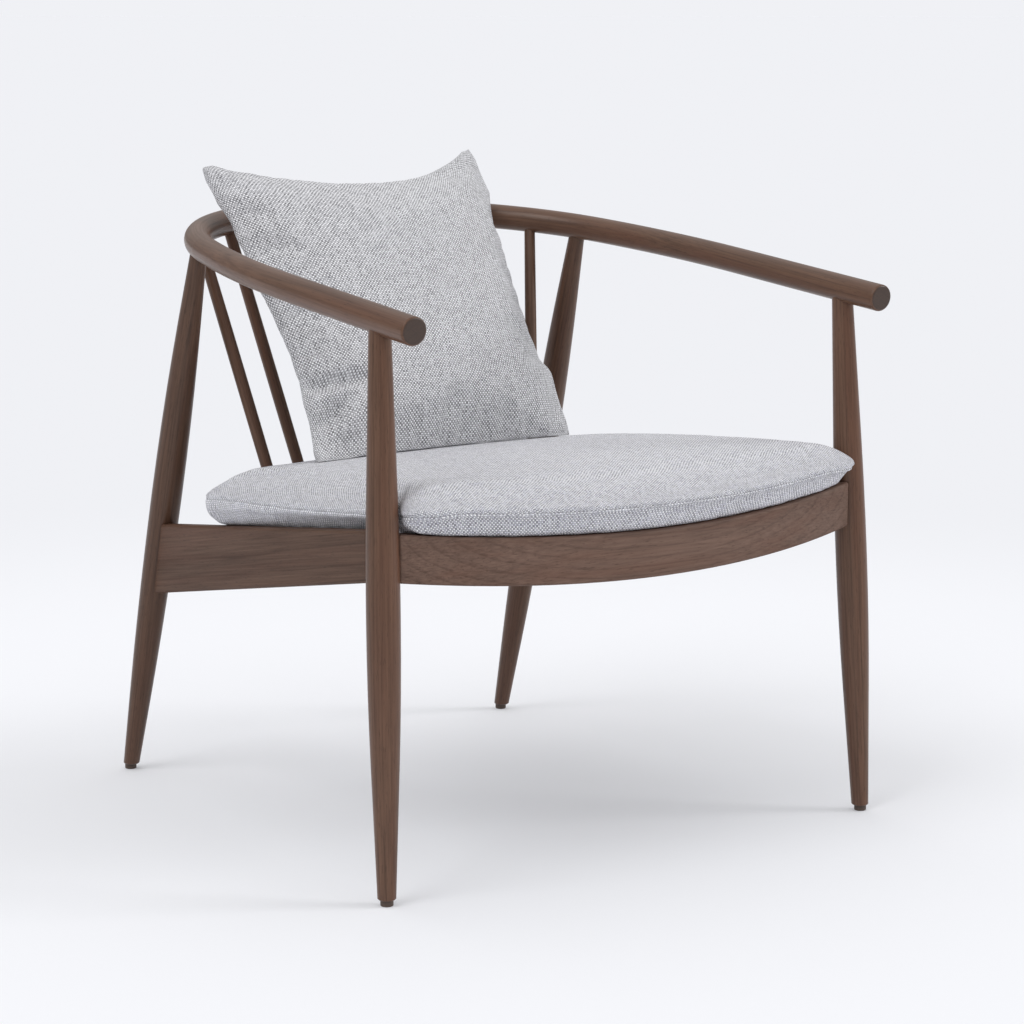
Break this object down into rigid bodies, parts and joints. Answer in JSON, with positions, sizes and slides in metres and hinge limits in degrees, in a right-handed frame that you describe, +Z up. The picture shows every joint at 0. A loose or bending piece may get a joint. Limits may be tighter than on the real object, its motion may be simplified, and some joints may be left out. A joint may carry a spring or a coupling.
{
  "type": "armchair",
  "caption": "Low lounge armchair with a round horseshoe arm bow, turned raking legs, a spindle back, a bowed seat frame and loose seat and back cushions.",
  "frame": {"origin": "on the floor, under the middle of the chair's box", "axes": "+Z up, the front of the chair faces -Y, +X to the right as seen from the front"},
  "size_m": [0.714, 0.7666, 0.7779],
  "materials": {
    "walnut": "satin oiled walnut",
    "upholstery": "light grey melange basket weave",
    "webbing": "black elastic webbing",
    "glide_nylon": "dark moulded nylon"
  },
  "bodies": {
    "frame": {"arm_bow": "walnut", "front_rail": "walnut", "rear_rail": "walnut", "front_leg_left": "walnut", "front_leg_right": "walnut", "rear_leg_left": "walnut", "rear_leg_right": "walnut", "side_rail_left": "walnut", "side_rail_right": "walnut", "spindle_outer_left": "walnut", "spindle_outer_right": "walnut", "spindle_middle_left": "walnut", "spindle_middle_right": "walnut", "spindle_inner_left": "walnut", "spindle_inner_right": "walnut", "webbing_strap_1": "webbing", "webbing_strap_2": "webbing", "webbing_strap_3": "webbing", "webbing_strap_4": "webbing", "webbing_strap_5": "webbing", "glide_front_left": "glide_nylon", "glide_front_right": "glide_nylon", "glide_rear_left": "glide_nylon", "glide_rear_right": "glide_nylon"},
    "seat_cushion_body": {"seat_cushion": "upholstery"},
    "back_cushion_body": {"back_cushion": "upholstery"}
  },
  "joints": [
    {"name": "seat_cushion_lift", "type": "slide", "parent": "frame", "child": "seat_cushion_body", "axis": [0, 0, 1], "range_m": [0, 0.06]},
    {"name": "back_cushion_lift", "type": "slide", "parent": "seat_cushion_body", "child": "back_cushion_body", "axis": [0, 0, 1], "range_m": [0, 0.08]}
  ]
}
